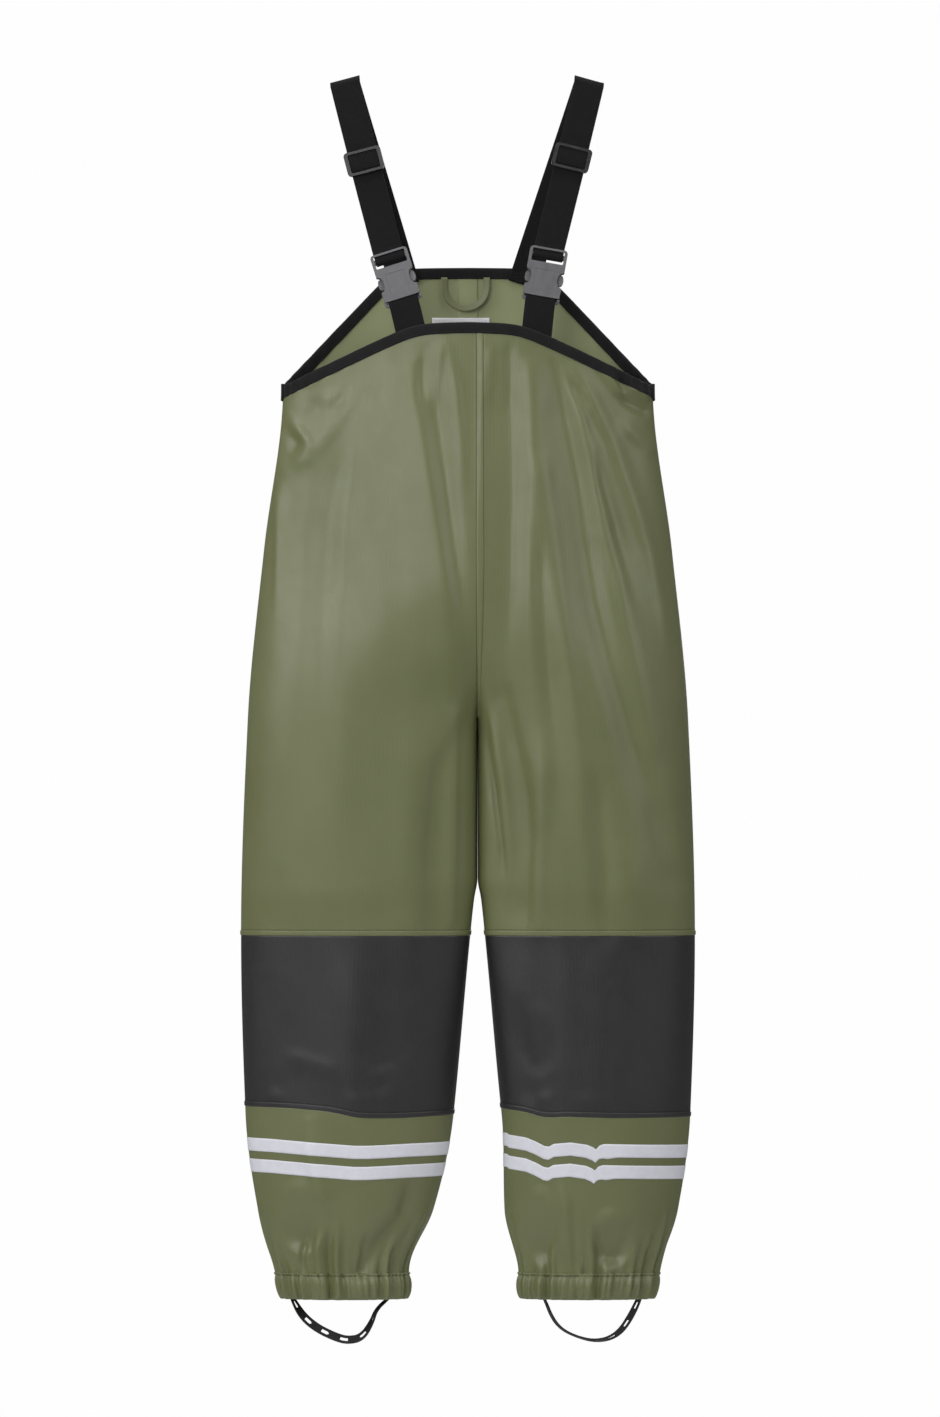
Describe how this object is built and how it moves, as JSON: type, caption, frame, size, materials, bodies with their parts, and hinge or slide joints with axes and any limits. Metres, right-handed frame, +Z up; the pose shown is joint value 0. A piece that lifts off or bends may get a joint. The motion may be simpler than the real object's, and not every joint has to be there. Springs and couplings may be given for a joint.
{
  "type": "bib rain trousers",
  "caption": "Children's waterproof bib trousers with webbing shoulder straps, side-release buckles, dark knee panels, gathered cuffs and foot straps.",
  "frame": {"origin": "centre of the back neck binding, on its flat outer face", "axes": "+Z up along the hanging garment, +Y out of the back, so the bib faces -Y, +X to the right as seen from the front"},
  "size_m": [0.3772, 0.1101, 1.0518],
  "materials": {
    "green_fabric": "satin polyurethane coating on knitted polyester",
    "black_fabric": "satin polyurethane coating on knitted polyester",
    "binding_tape": "matt knitted edge tape",
    "webbing": "woven polyester webbing",
    "reflective_print": "grey retroreflective print",
    "buckle_plastic": "moulded acetal, fine texture",
    "slider_plastic": "moulded acetal",
    "elastic": "woven elastic",
    "rubber_band": "matt rubber band with button slots",
    "label": "blank woven label"
  },
  "bodies": {
    "root": {"front_panel_left": "green_fabric", "back_panel_left": "green_fabric", "knee_panel_left": "black_fabric", "shin_panel_left": "green_fabric", "front_panel_right": "green_fabric", "back_panel_right": "green_fabric", "knee_panel_right": "black_fabric", "shin_panel_right": "green_fabric", "front_edge_binding": "binding_tape", "back_edge_binding": "binding_tape", "reflective_stripe_upper_left": "reflective_print", "reflective_stripe_lower_left": "reflective_print", "cuff_left": "green_fabric", "cuff_elastic_left": "elastic", "reflective_stripe_upper_right": "reflective_print", "reflective_stripe_lower_right": "reflective_print", "cuff_right": "green_fabric", "cuff_elastic_right": "elastic", "foot_strap_button_outer_left": "slider_plastic", "foot_strap_button_inner_left": "slider_plastic", "foot_strap_button_outer_right": "slider_plastic", "foot_strap_button_inner_right": "slider_plastic", "bib_tab_left": "webbing", "shoulder_strap_left": "webbing", "buckle_plug_left": "buckle_plastic", "bib_tab_right": "webbing", "shoulder_strap_right": "webbing", "buckle_plug_right": "buckle_plastic", "care_label": "label"},
    "buckle_left": {"buckle_housing_left": "buckle_plastic", "strap_return_left": "webbing"},
    "slider_left": {"slider_left": "slider_plastic", "strap_end_left": "webbing"},
    "prong_outer_left": {"buckle_prong_outer_left": "buckle_plastic"},
    "prong_inner_left": {"buckle_prong_inner_left": "buckle_plastic"},
    "foot_strap_left": {"foot_strap_left": "rubber_band"},
    "buckle_right": {"buckle_housing_right": "buckle_plastic", "strap_return_right": "webbing"},
    "slider_right": {"slider_right": "slider_plastic", "strap_end_right": "webbing"},
    "prong_outer_right": {"buckle_prong_outer_right": "buckle_plastic"},
    "prong_inner_right": {"buckle_prong_inner_right": "buckle_plastic"},
    "foot_strap_right": {"foot_strap_right": "rubber_band"},
    "hang_loop": {"hang_loop": "green_fabric"}
  },
  "joints": [
    {"name": "buckle_left_release", "type": "slide", "parent": "root", "child": "buckle_left", "axis": [-0.2978, 0.1387, 0.9445], "range_m": [0, 0.028], "deforming": ["shoulder_strap_left", "strap_return_left", "buckle_prong_outer_left", "buckle_prong_inner_left"]},
    {"name": "slider_left_adjust", "type": "slide", "parent": "buckle_left", "child": "slider_left", "axis": [-0.252, 0.0923, 0.9633], "range_m": [-0.055, 0.014]},
    {"name": "prong_outer_left_squeeze", "type": "hinge", "parent": "root", "child": "prong_outer_left", "pos_m": [-0.0655, -0.06281, -0.01892], "axis": [-0.0417, -0.9903, 0.1322], "range_deg": [-12, 0], "stiffness_Nm_per_rad": 0.2},
    {"name": "prong_inner_left_squeeze", "type": "hinge", "parent": "root", "child": "prong_inner_left", "pos_m": [-0.04566, -0.06281, -0.01266], "axis": [-0.0417, -0.9903, 0.1322], "range_deg": [0, 12], "stiffness_Nm_per_rad": 0.2},
    {"name": "foot_strap_left_swing", "type": "hinge", "parent": "root", "child": "foot_strap_left", "pos_m": [-0.10425, -0.03668, -0.83476], "axis": [1, 0, 0], "range_deg": [-16, 16]},
    {"name": "buckle_right_release", "type": "slide", "parent": "root", "child": "buckle_right", "axis": [0.1719, 0.1425, 0.9748], "range_m": [0, 0.028], "deforming": ["shoulder_strap_right", "strap_return_right", "buckle_prong_outer_right", "buckle_prong_inner_right"]},
    {"name": "slider_right_adjust", "type": "slide", "parent": "buckle_right", "child": "slider_right", "axis": [0.2402, 0.091, 0.9664], "range_m": [-0.055, 0.014]},
    {"name": "prong_outer_right_squeeze", "type": "hinge", "parent": "root", "child": "prong_outer_right", "pos_m": [0.07153, -0.0625, -0.01616], "axis": [0.0247, -0.9898, 0.1403], "range_deg": [0, 12], "stiffness_Nm_per_rad": 0.2},
    {"name": "prong_inner_right_squeeze", "type": "hinge", "parent": "root", "child": "prong_inner_right", "pos_m": [0.05104, -0.0625, -0.01255], "axis": [0.0247, -0.9898, 0.1403], "range_deg": [-12, 0], "stiffness_Nm_per_rad": 0.2},
    {"name": "foot_strap_right_swing", "type": "hinge", "parent": "root", "child": "foot_strap_right", "pos_m": [0.10125, -0.03668, -0.83476], "axis": [1, 0, 0], "range_deg": [-16, 16]},
    {"name": "hang_loop_flip", "type": "hinge", "parent": "root", "child": "hang_loop", "pos_m": [-0.002, -0.00545, -0.00476], "axis": [1, 0, 0], "range_deg": [-165, 0]}
  ],
  "couplings": [
    {"joint": "prong_outer_left_squeeze", "follows": "prong_inner_left_squeeze", "ratio": -1},
    {"joint": "prong_outer_right_squeeze", "follows": "prong_inner_right_squeeze", "ratio": -1}
  ]
}
